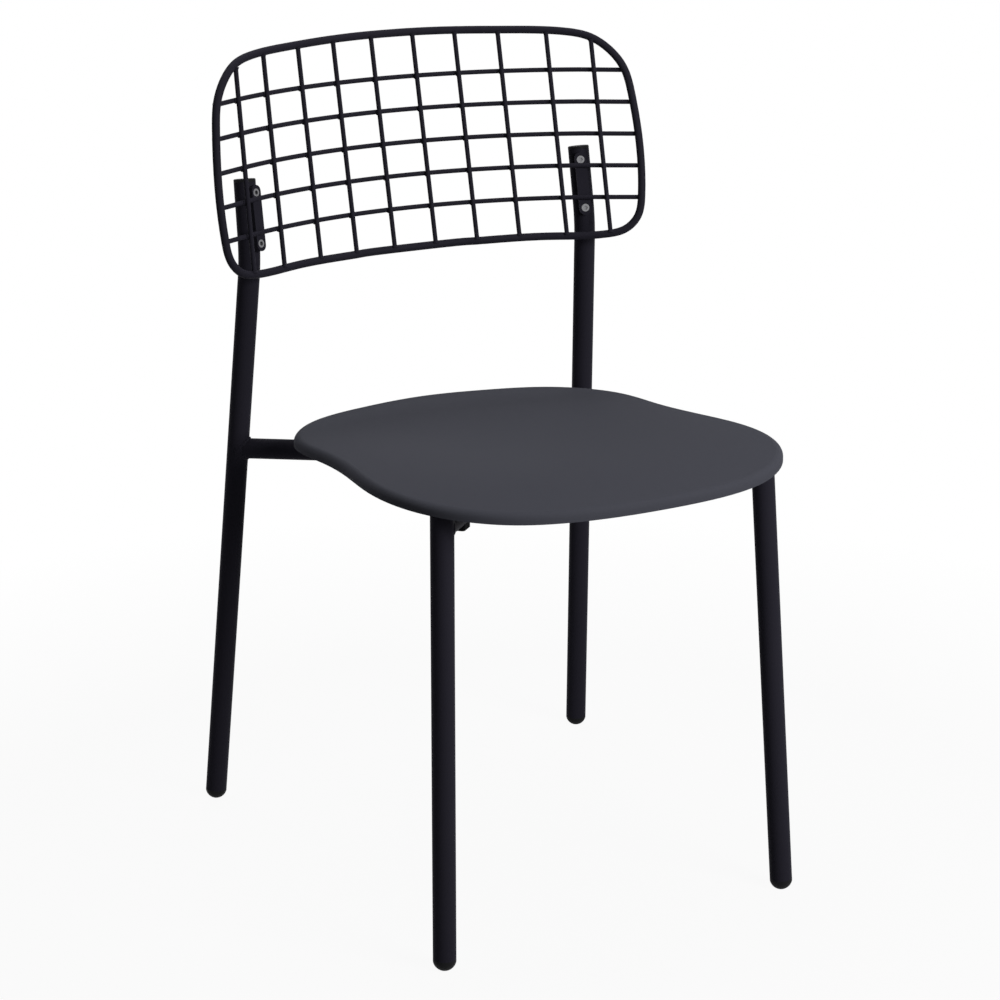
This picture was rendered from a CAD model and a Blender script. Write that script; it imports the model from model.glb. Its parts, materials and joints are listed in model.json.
import json
import logging
import math
from dataclasses import dataclass
from enum import Enum
from typing import Any, Iterable, Union

import bpy
from mathutils import Matrix, Vector


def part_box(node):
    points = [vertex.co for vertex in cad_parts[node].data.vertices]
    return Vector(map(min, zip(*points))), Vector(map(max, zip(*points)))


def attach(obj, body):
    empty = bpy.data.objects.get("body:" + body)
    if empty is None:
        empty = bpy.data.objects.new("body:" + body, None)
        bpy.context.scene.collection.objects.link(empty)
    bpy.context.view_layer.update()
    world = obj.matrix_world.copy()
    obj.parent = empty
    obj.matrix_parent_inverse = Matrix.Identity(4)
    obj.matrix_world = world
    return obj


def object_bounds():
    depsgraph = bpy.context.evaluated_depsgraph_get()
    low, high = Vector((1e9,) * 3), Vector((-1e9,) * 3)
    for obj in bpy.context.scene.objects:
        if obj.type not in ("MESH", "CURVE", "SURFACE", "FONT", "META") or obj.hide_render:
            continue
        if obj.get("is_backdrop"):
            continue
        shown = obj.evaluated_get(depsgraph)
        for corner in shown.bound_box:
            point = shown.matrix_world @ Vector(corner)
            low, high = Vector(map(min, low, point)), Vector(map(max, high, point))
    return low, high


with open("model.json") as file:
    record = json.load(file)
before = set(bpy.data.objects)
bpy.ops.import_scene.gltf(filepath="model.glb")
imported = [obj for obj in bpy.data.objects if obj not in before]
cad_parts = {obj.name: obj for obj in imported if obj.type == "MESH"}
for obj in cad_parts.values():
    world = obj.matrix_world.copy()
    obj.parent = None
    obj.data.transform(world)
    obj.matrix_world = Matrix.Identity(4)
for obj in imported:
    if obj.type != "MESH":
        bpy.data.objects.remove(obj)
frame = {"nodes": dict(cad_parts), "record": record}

log = logging.getLogger("side_chair")
CAD_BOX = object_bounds()
ROOT = "root"
SMOOTH_ANGLE = math.radians(40.0)
WHITE = (1.0, 1.0, 1.0, 1.0)

Point = tuple[float, float, float]
Colour = tuple[float, float, float]
Value = Union["Sock", float]


class Sock:
    """A node's output socket that takes part in Python arithmetic."""

    def __init__(self, graph: "ShaderGraph", socket: bpy.types.NodeSocket) -> None:
        """Wrap a socket.

        Args:
            graph: the graph that new Math nodes are added to.
            socket: the output socket.
        """
        self.graph = graph
        self.socket = socket

    def _math(self, operation: str, *values: Value) -> "Sock":
        """Add a Math node.

        Args:
            operation: the Math node's operation.
            values: its inputs in order.

        Returns:
            The node's output.
        """
        return self.graph.node("ShaderNodeMath", {"operation": operation}, dict(enumerate(values)))

    def __add__(self, other: Value) -> "Sock":
        """Sum."""
        return self._math("ADD", self, other)

    def __radd__(self, other: Value) -> "Sock":
        """Sum with a number on the left."""
        return self._math("ADD", other, self)

    def __sub__(self, other: Value) -> "Sock":
        """Difference."""
        return self._math("SUBTRACT", self, other)

    def __rsub__(self, other: Value) -> "Sock":
        """Difference from a number on the left."""
        return self._math("SUBTRACT", other, self)

    def __mul__(self, other: Value) -> "Sock":
        """Product."""
        return self._math("MULTIPLY", self, other)

    def __rmul__(self, other: Value) -> "Sock":
        """Product with a number on the left."""
        return self._math("MULTIPLY", other, self)

    def clamp(self) -> "Sock":
        """Hold the value between 0 and 1.

        Returns:
            The held value.
        """
        return self._math("MINIMUM", self._math("MAXIMUM", self, 0.0), 1.0)


class ShaderGraph:
    """The node tree of a material or of the world."""

    def __init__(self, name: str = "", world: bpy.types.World | None = None) -> None:
        """Start an empty tree.

        Args:
            name: the new material's name.
            world: the world whose tree is used instead of a new material's.
        """
        self.owner = world or bpy.data.materials.new(name)
        self.owner.use_nodes = True
        self.tree = self.owner.node_tree
        self.tree.nodes.clear()

    def seen(self) -> Sock:
        """Tell the rays of the camera, and of what gloss and glass show, from those of light.

        Returns:
            1 for rays that see, 0 for rays that light.
        """
        names = ("Is Camera Ray", "Is Glossy Ray", "Is Transmission Ray")
        camera, glossy, through = [self.node("ShaderNodeLightPath", output=name) for name in names]
        return (camera + glossy + through).clamp()

    def node(
        self,
        kind: str,
        settings: dict[str, Any] | None = None,
        inputs: dict[Any, Any] | None = None,
        output: Union[int, str] = 0,
    ) -> Sock:
        """Add any node.

        Args:
            kind: the node's type.
            settings: attributes that are set first.
            inputs: socket name or number to a value or a Sock.
            output: which output to return.

        Returns:
            The chosen output, or the first input of a node that has no output.
        """
        made = self.tree.nodes.new(kind)
        for key, value in (settings or {}).items():
            setattr(made, key, value)
        for key, value in (inputs or {}).items():
            if isinstance(value, Sock):
                self.tree.links.new(value.socket, made.inputs[key])
            else:
                made.inputs[key].default_value = value
        return Sock(self, made.outputs[output]) if len(made.outputs) else Sock(self, made.inputs[0])

    def place(self) -> Sock:
        """Read the point on the piece.

        Returns:
            The point in the chair's own metres.
        """
        return self.node("ShaderNodeTexCoord", output="Object")

    def noise(self, scale: float, detail: float = 2.0) -> Sock:
        """A noise value over the piece.

        Args:
            scale: noise cells to the metre.
            detail: octaves.

        Returns:
            A value about 0.5.
        """
        inputs = {"Vector": self.place(), "Scale": scale, "Detail": detail}
        return self.node("ShaderNodeTexNoise", inputs=inputs, output="Fac")

    def mix(self, factor: Value, first: Colour, second: Colour) -> Sock:
        """A colour between two colours.

        Args:
            factor: 0 gives the first, 1 the second.
            first: colour.
            second: colour.

        Returns:
            The mixed colour.
        """
        settings = {"data_type": "RGBA"}
        return self.node("ShaderNodeMix", settings, {0: factor, 6: (*first, 1.0), 7: (*second, 1.0)}, 2)

    def bump(self, height: Value, strength: float, distance: float) -> Sock:
        """A surface normal moved by a height.

        Args:
            height: the height's value.
            strength: the bump's strength.
            distance: metres of one unit of height.

        Returns:
            The normal.
        """
        inputs = {"Height": height, "Strength": strength, "Distance": distance}
        return self.node("ShaderNodeBump", inputs=inputs, output="Normal")

    def finish(self, **inputs: Any) -> bpy.types.Material:
        """Join a Principled shader to the output.

        Args:
            inputs: the shader's sockets, with underscores for spaces.

        Returns:
            The finished material.
        """
        named = {key.replace("_", " "): value for key, value in inputs.items()}
        shader = self.node("ShaderNodeBsdfPrincipled", inputs=named)
        self.node("ShaderNodeOutputMaterial", inputs={"Surface": shader})
        return self.owner


@dataclass(frozen=True)
class PowderCoat:
    """A baked powder coat: orange peel, fine pigment and a little dust of tone."""

    name: str
    dark: Colour
    light: Colour
    roughness: float
    peel_scale: float
    peel_depth: float
    specular: float
    peel_strength: float = 0.35
    cloud_scale: float = 9.0
    cloud_share: float = 0.55
    speck_scale: float = 900.0
    roughness_spread: float = 0.12

    def material(self) -> bpy.types.Material:
        """Make the material.

        Returns:
            The powder coat.
        """
        graph = ShaderGraph(self.name)
        cloud = graph.noise(self.cloud_scale, 3.0)
        speck = graph.noise(self.speck_scale)
        peel = graph.noise(self.peel_scale)
        tone = (self.cloud_share * cloud + (1.0 - self.cloud_share) * speck).clamp()
        smoothest = self.roughness - self.roughness_spread / 2.0
        return graph.finish(
            Base_Color=graph.mix(tone, self.dark, self.light),
            Roughness=(smoothest + self.roughness_spread * cloud).clamp(),
            Specular_IOR_Level=self.specular,
            Normal=graph.bump(peel, self.peel_strength, self.peel_depth),
        )


class Coat(Enum):
    """The chair's two coats."""

    FRAME = PowderCoat(
        name="frame_coat",
        dark=(0.0195, 0.0182, 0.027),
        light=(0.0255, 0.0242, 0.033),
        roughness=0.5,
        peel_scale=1300.0,
        peel_depth=0.0002,
        specular=0.015,
    )
    SEAT = PowderCoat(
        name="seat_coat",
        dark=(0.0555, 0.057, 0.071),
        light=(0.0693, 0.0707, 0.0863),
        roughness=0.72,
        peel_scale=1500.0,
        peel_depth=0.0003,
        specular=0.03,
    )


@dataclass(frozen=True)
class MouldedPlastic:
    """Matte moulded plastic or rubber with a fine spark-eroded grain."""

    name: str
    colour: Colour
    roughness: float
    specular: float = 0.06
    paler: float = 1.5
    cloud_scale: float = 40.0
    roughness_spread: float = 0.2
    grain_scale: float = 2400.0
    grain_strength: float = 0.3
    grain_depth: float = 0.0001

    def material(self) -> bpy.types.Material:
        """Make the material.

        Returns:
            The plastic.
        """
        graph = ShaderGraph(self.name)
        grain = graph.noise(self.grain_scale)
        cloud = graph.noise(self.cloud_scale)
        pale = tuple(self.paler * c for c in self.colour)
        smoothest = self.roughness - self.roughness_spread / 2.0
        return graph.finish(
            Base_Color=graph.mix(cloud, self.colour, pale),
            Roughness=(smoothest + self.roughness_spread * cloud).clamp(),
            Specular_IOR_Level=self.specular,
            Normal=graph.bump(grain, self.grain_strength, self.grain_depth),
        )


@dataclass(frozen=True)
class PlainSteel:
    """Plain stainless steel with fine turning marks."""

    name: str = "screw_steel"
    colour: Colour = (0.22, 0.22, 0.23)
    darker: float = 0.75
    smoothest: float = 0.25
    roughness_spread: float = 0.2
    mark_scale: float = 1800.0
    mark_strength: float = 0.1
    mark_depth: float = 0.0001

    def material(self) -> bpy.types.Material:
        """Make the material.

        Returns:
            The steel.
        """
        graph = ShaderGraph(self.name)
        marks = graph.noise(self.mark_scale, 3.0)
        dark = tuple(self.darker * c for c in self.colour)
        return graph.finish(
            Base_Color=graph.mix(marks, dark, self.colour),
            Roughness=(self.smoothest + self.roughness_spread * marks).clamp(),
            Metallic=1.0,
            Normal=graph.bump(marks, self.mark_strength, self.mark_depth),
        )


@dataclass(frozen=True)
class Lamp:
    """A square soft lamp: where it hangs, what it faces, its side in metres and its watts."""

    name: str
    place: Point
    target: Point
    size: float
    power: float

    def hang(self) -> None:
        """Add the lamp to the scene."""
        data = bpy.data.lights.new(self.name, "AREA")
        data.size = self.size
        data.energy = self.power
        lamp = bpy.data.objects.new(self.name, data)
        bpy.context.scene.collection.objects.link(lamp)
        aim(lamp, self.place, self.target)


def aim(thing: bpy.types.Object, place: Point, target: Point) -> None:
    """Stand a lamp or a camera at a place and turn it to a point.

    Args:
        thing: the lamp or camera.
        place: where it stands.
        target: the point it faces.
    """
    thing.location = place
    look = Vector(target) - Vector(place)
    thing.rotation_euler = look.to_track_quat("-Z", "Y").to_euler()


@dataclass
class Studio:
    """Camera, floor and soft light."""

    camera_place: Point = (-1.2610, -2.3476, 1.2151)
    camera_target: Point = (-0.0004, 0.0205, 0.3624)
    lens: float = 102.164
    sensor: float = 36.0
    floor_size: float = 60.0
    near_glow: float = 0.94
    floor_paint: float = 0.5
    shadow_reach: float = 0.55
    fill: float = 0.045
    lamps: tuple[Lamp, ...] = (
        Lamp("key", (0.75, -1.75, 1.25), (0.0, 0.0, 0.4), 0.9, 30.0),
        Lamp("top", (0.1, 0.5, 2.6), (0.0, 0.0, 0.4), 1.4, 23.0),
    )

    def build(self) -> None:
        """Make the camera, the floor, the world and the lamps."""
        self._camera()
        self._floor()
        self._world()
        for lamp in self.lamps:
            lamp.hang()
            log.info("hung the %s lamp", lamp.name)
        bpy.context.scene.view_settings.view_transform = "Standard"

    def _camera(self) -> None:
        """Stand the camera where the photograph was taken from."""
        data = bpy.data.cameras.new("camera")
        data.lens = self.lens
        data.sensor_width = self.sensor
        data.sensor_fit = "HORIZONTAL"
        camera = bpy.data.objects.new("camera", data)
        bpy.context.scene.collection.objects.link(camera)
        aim(camera, self.camera_place, self.camera_target)
        bpy.context.scene.camera = camera

    def _floor(self) -> None:
        """Lay the pale floor, white to the camera but for the chair's soft shadow."""
        clear_selection()
        bpy.ops.mesh.primitive_plane_add(size=self.floor_size, location=(0.0, 0.0, 0.0))
        floor = bpy.context.object
        floor.name = "floor"
        graph = ShaderGraph("floor_white")
        away = graph.node("ShaderNodeVectorMath", {"operation": "LENGTH"}, {0: graph.place()}, "Value")
        fade = ((away - self.shadow_reach) * (1.0 / self.shadow_reach)).clamp()
        glow_share = self.near_glow + (1.0 - self.near_glow) * fade
        grey = (self.floor_paint, self.floor_paint, self.floor_paint, 1.0)
        paint = graph.node("ShaderNodeBsdfDiffuse", inputs={"Color": grey})
        glow = graph.node("ShaderNodeEmission", inputs={"Color": WHITE, "Strength": 1.0})
        shares = {0: graph.seen() * glow_share, 1: paint, 2: glow}
        mixed = graph.node("ShaderNodeMixShader", inputs=shares)
        graph.node("ShaderNodeOutputMaterial", inputs={"Surface": mixed})
        floor.data.materials.append(graph.owner)
        floor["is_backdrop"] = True

    def _world(self) -> None:
        """Light the room softly, and let the camera and reflections see it white."""
        world = bpy.data.worlds.new("studio")
        bpy.context.scene.world = world
        graph = ShaderGraph(world=world)
        strength = self.fill + (1.0 - self.fill) * graph.seen()
        room = graph.node("ShaderNodeBackground", inputs={"Color": WHITE, "Strength": strength})
        graph.node("ShaderNodeOutputWorld", inputs={"Surface": room})


def clear_selection() -> None:
    """Leave nothing selected, in object mode."""
    if bpy.context.object and bpy.context.object.mode != "OBJECT":
        bpy.ops.object.mode_set(mode="OBJECT")
    bpy.ops.object.select_all(action="DESELECT")


def turn_to(direction: Vector, place: Vector) -> Matrix:
    """Work out the placement that lays a piece's own Z along a direction.

    Args:
        direction: where Z goes.
        place: where the piece's origin goes.

    Returns:
        The placement.
    """
    return Matrix.Translation(place) @ direction.to_track_quat("Z", "Y").to_matrix().to_4x4()


def select_only(pieces: list[bpy.types.Object]) -> None:
    """Select these pieces alone, the first of them active.

    Args:
        pieces: the pieces.
    """
    clear_selection()
    for piece in pieces:
        piece.select_set(True)
    bpy.context.view_layer.objects.active = pieces[0]


def settle(pieces: list[bpy.types.Object], name: str, material: bpy.types.Material) -> None:
    """Join copies into one finished piece at the origin that rides with the chair.

    Args:
        pieces: the placed copies.
        name: the finished piece's name.
        material: its finish.
    """
    select_only(pieces)
    bpy.ops.object.join()
    done = bpy.context.object
    bpy.ops.object.transform_apply(location=True, rotation=True, scale=True)
    bpy.ops.object.shade_smooth_by_angle(angle=SMOOTH_ANGLE)
    done.name = name
    done.data.name = name
    done.data.materials.clear()
    done.data.materials.append(material)
    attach(done, ROOT)
    log.info("built %s with %d faces", name, len(done.data.polygons))


def twin_of(piece: bpy.types.Object) -> bpy.types.Object:
    """Copy a piece, with its own mesh, in its place.

    Args:
        piece: the piece.

    Returns:
        The copy.
    """
    twin = piece.copy()
    twin.data = piece.data.copy()
    bpy.context.scene.collection.objects.link(twin)
    return twin


def copies(model: bpy.types.Object, places: Iterable[Matrix]) -> list[bpy.types.Object]:
    """Copy a modelled piece to its places, each copy with its own mesh, and remove the model.

    Args:
        model: the piece that is repeated.
        places: one placement for each copy.

    Returns:
        The placed copies.
    """
    made = []
    for place in places:
        piece = twin_of(model)
        piece.matrix_world = place
        made.append(piece)
    bpy.data.objects.remove(model)
    return made


@dataclass
class TubeFrame:
    """The weld beads where the legs, rails and cross bars meet, on the tubes' own axes."""

    rear_foot: Point = (0.220, 0.2518, 0.0)
    rear_bend: Point = (0.1902, 0.1893, 0.5935)
    front_foot: Point = (0.1867, -0.220, 0.0)
    front_top: Point = (0.1706, -0.1888, 0.432)
    rail_rear_height: float = 0.3943
    rail_front_height: float = 0.420
    rail_inner_x: float = 0.115
    rail_bend_y: tuple[float, float] = (0.1336, -0.134)
    cross_bar_y: tuple[float, float] = (0.040, -0.050)
    rear_radius: float = 0.0109
    front_radius: float = 0.011
    rail_radius: float = 0.0103
    cross_bar_radius: float = 0.008
    bead: float = 0.0016
    bead_sides: int = 72
    bead_merge: float = 0.00005
    ridge_angle: float = math.radians(30.0)
    ridge_share: float = 0.8
    ridge_steps: int = 4

    def build(self, coat: bpy.types.Material) -> None:
        """Weld every joint of the tubes, both sides.

        Args:
            coat: the frame's powder coat.
        """
        rear_leg = Vector(self.rear_bend) - Vector(self.rear_foot)
        front_leg = Vector(self.front_top) - Vector(self.front_foot)
        rear = self._on_leg(self.rear_foot, rear_leg, self.rail_rear_height)
        front = self._on_leg(self.front_foot, front_leg, self.rail_front_height)
        run = front - rear
        corners = [rear + run * ((y - rear.y) / run.y) for y in self.rail_bend_y]
        rail_ends = [Vector((self.rail_inner_x, corner.y, corner.z)) for corner in corners]
        beads = [
            self._bead(rear, rear_leg, self.rear_radius, rail_ends[0] - rear, self.rail_radius),
            self._bead(front, front_leg, self.front_radius, rail_ends[1] - front, self.rail_radius),
        ]
        rail = rail_ends[1] - rail_ends[0]
        for y in self.cross_bar_y:
            joint = rail_ends[0] + rail * ((y - rail_ends[0].y) / rail.y)
            inward = Vector((-1.0, 0.0, 0.0))
            beads.append(self._bead(joint, rail, self.rail_radius, inward, self.cross_bar_radius))
        for side, mirrored in (("right", False), ("left", True)):
            placed = [self._mirrored(bead) if mirrored else twin_of(bead) for bead in beads]
            settle(placed, f"frame_weld_beads_{side}", coat)
        for bead in beads:
            bpy.data.objects.remove(bead)

    @staticmethod
    def _on_leg(foot: Point, leg: Vector, height: float) -> Vector:
        """Find the point of a leg's axis at a height.

        Args:
            foot: the axis at the floor.
            leg: the axis direction.
            height: metres above the floor.

        Returns:
            The point.
        """
        return Vector(foot) + leg * (height / leg.z)

    def _bead(
        self, joint: Vector, main: Vector, main_radius: float, branch: Vector, branch_radius: float
    ) -> bpy.types.Object:
        """Model the bead round a coped tube end: what two thickened tubes share, its edge rounded.

        Args:
            joint: where the two axes meet.
            main: direction of the tube that runs through.
            main_radius: its radius.
            branch: direction of the tube that ends there.
            branch_radius: its radius.

        Returns:
            The bead, placed.
        """
        reach = 2.0 * (main_radius + self.bead)
        along = branch.normalized()
        through = self._thick_tube(main_radius, 2.0 * reach)
        through.matrix_world = turn_to(main.normalized(), joint)
        bead = self._thick_tube(branch_radius, reach)
        bead.matrix_world = turn_to(along, joint + along * (reach / 2.0))
        shared = bead.modifiers.new("shared", "BOOLEAN")
        shared.operation = "INTERSECT"
        shared.solver = "EXACT"
        shared.object = through
        bpy.ops.object.modifier_apply(modifier=shared.name)
        bpy.data.objects.remove(through)
        self._round_ridge()
        return bead

    def _thick_tube(self, radius: float, length: float) -> bpy.types.Object:
        """Add a solid round bar that is thicker than a tube by the bead.

        Args:
            radius: the tube's radius.
            length: the bar's length.

        Returns:
            The bar, active.
        """
        clear_selection()
        bpy.ops.mesh.primitive_cylinder_add(
            vertices=self.bead_sides, radius=radius + self.bead, depth=length
        )
        return bpy.context.object

    def _round_ridge(self) -> None:
        """Round the ridge of the active bead, where the two thickened tubes cross."""
        bpy.ops.object.mode_set(mode="EDIT")
        bpy.ops.mesh.select_mode(type="EDGE")
        bpy.ops.mesh.select_all(action="SELECT")
        bpy.ops.mesh.remove_doubles(threshold=self.bead_merge)
        bpy.ops.mesh.normals_make_consistent(inside=False)
        bpy.ops.mesh.select_all(action="DESELECT")
        bpy.ops.mesh.edges_select_sharp(sharpness=self.ridge_angle)
        bpy.ops.mesh.bevel(offset=self.ridge_share * self.bead, segments=self.ridge_steps, profile=0.5)
        bpy.ops.object.mode_set(mode="OBJECT")

    @staticmethod
    def _mirrored(bead: bpy.types.Object) -> bpy.types.Object:
        """Mirror a bead to the other side and turn its faces outward again.

        Args:
            bead: the right-hand bead.

        Returns:
            The left-hand bead.
        """
        twin = twin_of(bead)
        twin.matrix_world = Matrix.Scale(-1.0, 4, (1.0, 0.0, 0.0)) @ twin.matrix_world
        select_only([twin])
        bpy.ops.object.transform_apply(location=True, rotation=True, scale=True)
        bpy.ops.object.mode_set(mode="EDIT")
        bpy.ops.mesh.select_all(action="SELECT")
        bpy.ops.mesh.normals_make_consistent(inside=False)
        bpy.ops.object.mode_set(mode="OBJECT")
        return twin


@dataclass
class WireBack:
    """The grid of wires: a weld at every crossing and a collar where a wire meets the rim."""

    lean: float = math.radians(13.7)
    radius: float = 0.3906
    taper: float = 0.27
    arc_half: float = 0.195
    rim_top: float = 0.145
    rim_radius: float = 0.004
    wire_radius: float = 0.00235
    row_top: float = 0.100
    row_pitch: float = 0.0332
    row_count: int = 5
    row_lift: float = 0.0012
    centre_gap: float = 0.047
    column_pitch: float = 0.0458
    wide_gap: float = 0.0502
    nugget_size: float = 0.0046
    nugget_depth: float = 0.0024
    nugget_cuts: int = 3
    nugget_swell: float = 0.7
    nugget_softness: float = 0.5
    nugget_passes: int = 2
    collar_length: float = 0.0022
    collar_flare: float = 0.0010
    collar_foot: float = 0.0006
    collar_skin: float = 0.00005
    collar_sides: int = 24
    collar_steps: int = 3

    def __post_init__(self) -> None:
        """Take the backrest's place from the rim."""
        _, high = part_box("back_rim")
        self.base_y = high[1] - self.rim_radius - self.rim_top * math.sin(self.lean)
        self.base_z = high[2] - self.rim_radius - self.rim_top * math.cos(self.lean)
        self.layer = self.wire_radius / math.cos(self.lean)

    def columns(self) -> list[float]:
        """Space the upright wires along the width.

        Returns:
            Each wire's place, left to right.
        """
        half = [self.centre_gap / 2 + self.column_pitch * i for i in range(3)]
        half += [half[-1] + self.wide_gap, half[-1] + self.wide_gap + self.column_pitch]
        return [-s for s in reversed(half)] + half

    def panel(self, s: float, t: float, behind: float) -> Vector:
        """Find a point of the backrest.

        Args:
            s: along its width from the middle.
            t: up its lean.
            behind: distance behind the rim's surface.

        Returns:
            The point in the chair's frame.
        """
        own = self.radius - self.taper * t
        on_arc = max(-self.arc_half, min(self.arc_half, s))
        angle = on_arc / own
        x = (own + behind) * math.sin(angle) + (s - on_arc) * math.cos(angle)
        forward = own - (own + behind) * math.cos(angle) + (s - on_arc) * math.sin(angle)
        up = Vector((0.0, math.sin(self.lean), math.cos(self.lean)))
        return Vector((x, self.base_y - forward, self.base_z)) + up * t

    def row_level(self, row: int, s: float) -> float:
        """Find the level of a row of wires at a place along the width.

        Args:
            row: 0 is the top row.
            s: along the width.

        Returns:
            The level up the lean.
        """
        share = min(1.0, abs(s) / self.arc_half)
        return self.row_top - self.row_pitch * row + self.row_lift * share ** 2

    def build(self, coat: bpy.types.Material) -> None:
        """Make the crossing welds and the collars.

        Args:
            coat: the frame's powder coat.
        """
        settle(copies(self._nugget(), self._crossings()), "grid_crossing_welds", coat)
        settle(copies(self._collar(), self._wire_ends()), "grid_rim_welds", coat)

    def _nugget(self) -> bpy.types.Object:
        """Model one crossing weld: a flattened pad with its corners drawn in.

        Returns:
            The weld at the origin, its thickness along Z.
        """
        clear_selection()
        bpy.ops.mesh.primitive_cube_add(size=1.0)
        nugget = bpy.context.object
        bpy.ops.object.mode_set(mode="EDIT")
        bpy.ops.mesh.subdivide(number_cuts=self.nugget_cuts, smoothness=self.nugget_swell)
        bpy.ops.mesh.vertices_smooth(factor=self.nugget_softness, repeat=self.nugget_passes)
        bpy.ops.transform.resize(value=(self.nugget_size, self.nugget_size, self.nugget_depth))
        bpy.ops.object.mode_set(mode="OBJECT")
        return nugget

    def _crossings(self) -> Iterable[Matrix]:
        """Lay a weld at each crossing, flat on the backrest.

        Yields:
            The weld's placement.
        """
        for row in range(self.row_count):
            for s in self.columns():
                t = self.row_level(row, s)
                place = self.panel(s, t, 0.0)
                outward = self.panel(s, t, -self.layer) - place
                yield turn_to(outward.normalized(), place)

    def _collar(self) -> bpy.types.Object:
        """Model one collar: a short sleeve on the wire that flares toward the rim.

        Returns:
            The collar at the origin, its flared end at the origin's level and its neck along Z.
        """
        clear_selection()
        foot = self.wire_radius + self.collar_flare
        bpy.ops.mesh.primitive_cylinder_add(vertices=self.collar_sides, radius=foot, depth=self.collar_foot)
        collar = bpy.context.object
        bpy.ops.object.mode_set(mode="EDIT")
        bpy.ops.mesh.select_mode(type="FACE")
        bpy.ops.mesh.select_all(action="DESELECT")
        bpy.ops.object.mode_set(mode="OBJECT")
        for face in collar.data.polygons:
            face.select = face.normal.z > 0.9
        bpy.ops.object.mode_set(mode="EDIT")
        drawn_in = 1.0 - (self.wire_radius + self.collar_skin) / foot
        rise = (0.0, 0.0, self.collar_length / self.collar_steps)
        before = 1.0
        for step in range(1, self.collar_steps + 1):
            bpy.ops.mesh.extrude_region_move(TRANSFORM_OT_translate={"value": rise})
            wide = 1.0 - drawn_in * math.sin(step / self.collar_steps * math.pi / 2.0)
            bpy.ops.transform.resize(value=(wide / before, wide / before, 1.0))
            before = wide
        bpy.ops.object.mode_set(mode="OBJECT")
        return collar

    def _wire_ends(self) -> Iterable[Matrix]:
        """Set a collar at both ends of every wire, its neck along the wire.

        Yields:
            The collar's placement.
        """
        for number, s in enumerate(self.columns(), start=1):
            low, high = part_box(f"back_vertical_wire_{number}")
            ends = [self._at_height(s, low[2]), self._at_height(s, high[2])]
            yield turn_to((ends[1] - ends[0]).normalized(), ends[0])
            yield turn_to((ends[0] - ends[1]).normalized(), ends[1])
        for row in range(self.row_count):
            low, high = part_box(f"back_horizontal_wire_{row + 1}")
            t = self.row_level(row, self.arc_half)
            arc_end = self.panel(self.arc_half, t, self.layer)
            slope = math.cos(self.arc_half / (self.radius - self.taper * t))
            for side, x in ((-1.0, -low[0]), (1.0, high[0])):
                s = self.arc_half + (x - arc_end.x) / slope
                end = self.panel(side * s, t, self.layer)
                inner = self.panel(side * self.arc_half, t, self.layer)
                yield turn_to((inner - end).normalized(), end)

    def _at_height(self, s: float, height: float) -> Vector:
        """Find the point of an upright wire's axis at a height.

        Args:
            s: the wire's place along the width.
            height: metres above the floor.

        Returns:
            The point.
        """
        return self.panel(s, (height - self.base_z) / math.cos(self.lean), -self.layer)


def dress(names: Iterable[str], material: bpy.types.Material) -> None:
    """Give CAD nodes a material.

    Args:
        names: the nodes.
        material: the finish.
    """
    for name in names:
        mesh = frame["nodes"][name].data
        mesh.materials.clear()
        mesh.materials.append(material)
        log.info("dressed %s in %s", name, material.name)


def write_sizes() -> None:
    """Write the CAD box and the dressed box for comparison."""
    boxes = {"cad": CAD_BOX, "visual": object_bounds()}
    plain = {key: [list(corner) for corner in corners] for key, corners in boxes.items()}


def main() -> None:
    """Build and dress the chair, then the studio."""
    logging.basicConfig(level=logging.INFO, format="%(name)s: %(message)s")
    slots = {part["node"]: part["material_slot"] for part in frame["record"]["subparts"]}
    materials = {
        "frame_coat": Coat.FRAME.value.material(),
        "seat_coat": Coat.SEAT.value.material(),
        "black_plastic": MouldedPlastic("black_plastic", (0.011, 0.011, 0.012), 0.6).material(),
        "bumper_rubber": MouldedPlastic("bumper_rubber", (0.008, 0.008, 0.009), 0.8).material(),
        "screw_steel": PlainSteel().material(),
    }
    for slot, material in materials.items():
        dress([node for node, own in slots.items() if own == slot], material)
    TubeFrame().build(materials["frame_coat"])
    WireBack().build(materials["frame_coat"])
    Studio().build()
    write_sizes()


if __name__ == "__main__":
    main()
